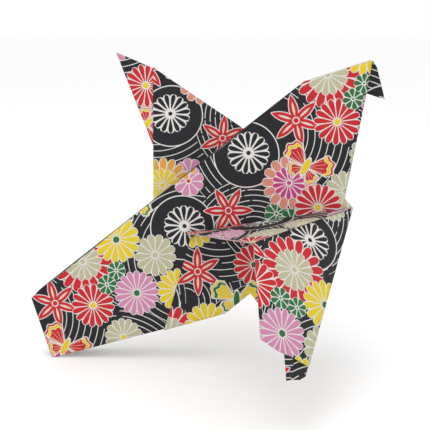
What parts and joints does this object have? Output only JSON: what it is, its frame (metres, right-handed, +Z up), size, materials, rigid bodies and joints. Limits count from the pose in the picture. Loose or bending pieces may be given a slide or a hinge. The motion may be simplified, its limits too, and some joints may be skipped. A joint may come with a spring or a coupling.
{
  "type": "folded paper bird",
  "caption": "Paper bird folded from one printed square, with a spine crease, a reversed head point and wings that fold at their roots.",
  "frame": {"origin": "centre of the bounding box in plan, at the level of the tail's lowest corner", "axes": "+X from the tail to the head, -Y the near side, whose wing droops, +Z up"},
  "size_m": [0.1258, 0.0902, 0.1101],
  "materials": {
    "printed_paper": "matte printed paper, dark ground with white line work and coloured flowers"
  },
  "bodies": {
    "near_body": {"near_side": "printed_paper", "near_belly": "printed_paper", "near_tail_tuck": "printed_paper"},
    "far_body": {"far_side": "printed_paper", "far_belly": "printed_paper", "far_tail_tuck": "printed_paper"},
    "head": {"near_head": "printed_paper", "far_head": "printed_paper"},
    "near_wing_inner": {"near_wing_ledge": "printed_paper", "near_wing_ledge_back": "printed_paper"},
    "near_wing_outer": {"near_wing_panel": "printed_paper", "near_wing_back": "printed_paper", "near_tip_rear": "printed_paper", "near_tip_front": "printed_paper"},
    "far_wing": {"far_wing_front": "printed_paper", "far_wing_back": "printed_paper"}
  },
  "joints": [
    {"name": "spine_crease", "type": "hinge", "parent": "near_body", "child": "far_body", "pos_m": [-0.06043, 0.01902, 0.02466], "axis": [0.7837, 0, 0.6212], "range_deg": [-2, 120]},
    {"name": "head_nod", "type": "hinge", "parent": "near_body", "child": "head", "pos_m": [0.03558, 0.01902, 0.10075], "axis": [0, 1, 0], "range_deg": [-6, 6]},
    {"name": "near_wing_root", "type": "hinge", "parent": "near_body", "child": "near_wing_inner", "pos_m": [-0.00626, 0.01599, 0.04727], "axis": [0.9826, -0.0756, 0.1695], "range_deg": [-70, 15]},
    {"name": "near_wing_elbow", "type": "hinge", "parent": "near_wing_inner", "child": "near_wing_outer", "pos_m": [0.01648, -0.01944, 0.05304], "axis": [0.7574, 0.6465, 0.092], "range_deg": [-40, 12]},
    {"name": "far_wing_root", "type": "hinge", "parent": "far_body", "child": "far_wing", "pos_m": [-0.00626, 0.02205, 0.04727], "axis": [0.9826, 0.0756, 0.1695], "range_deg": [-100, 10]}
  ]
}
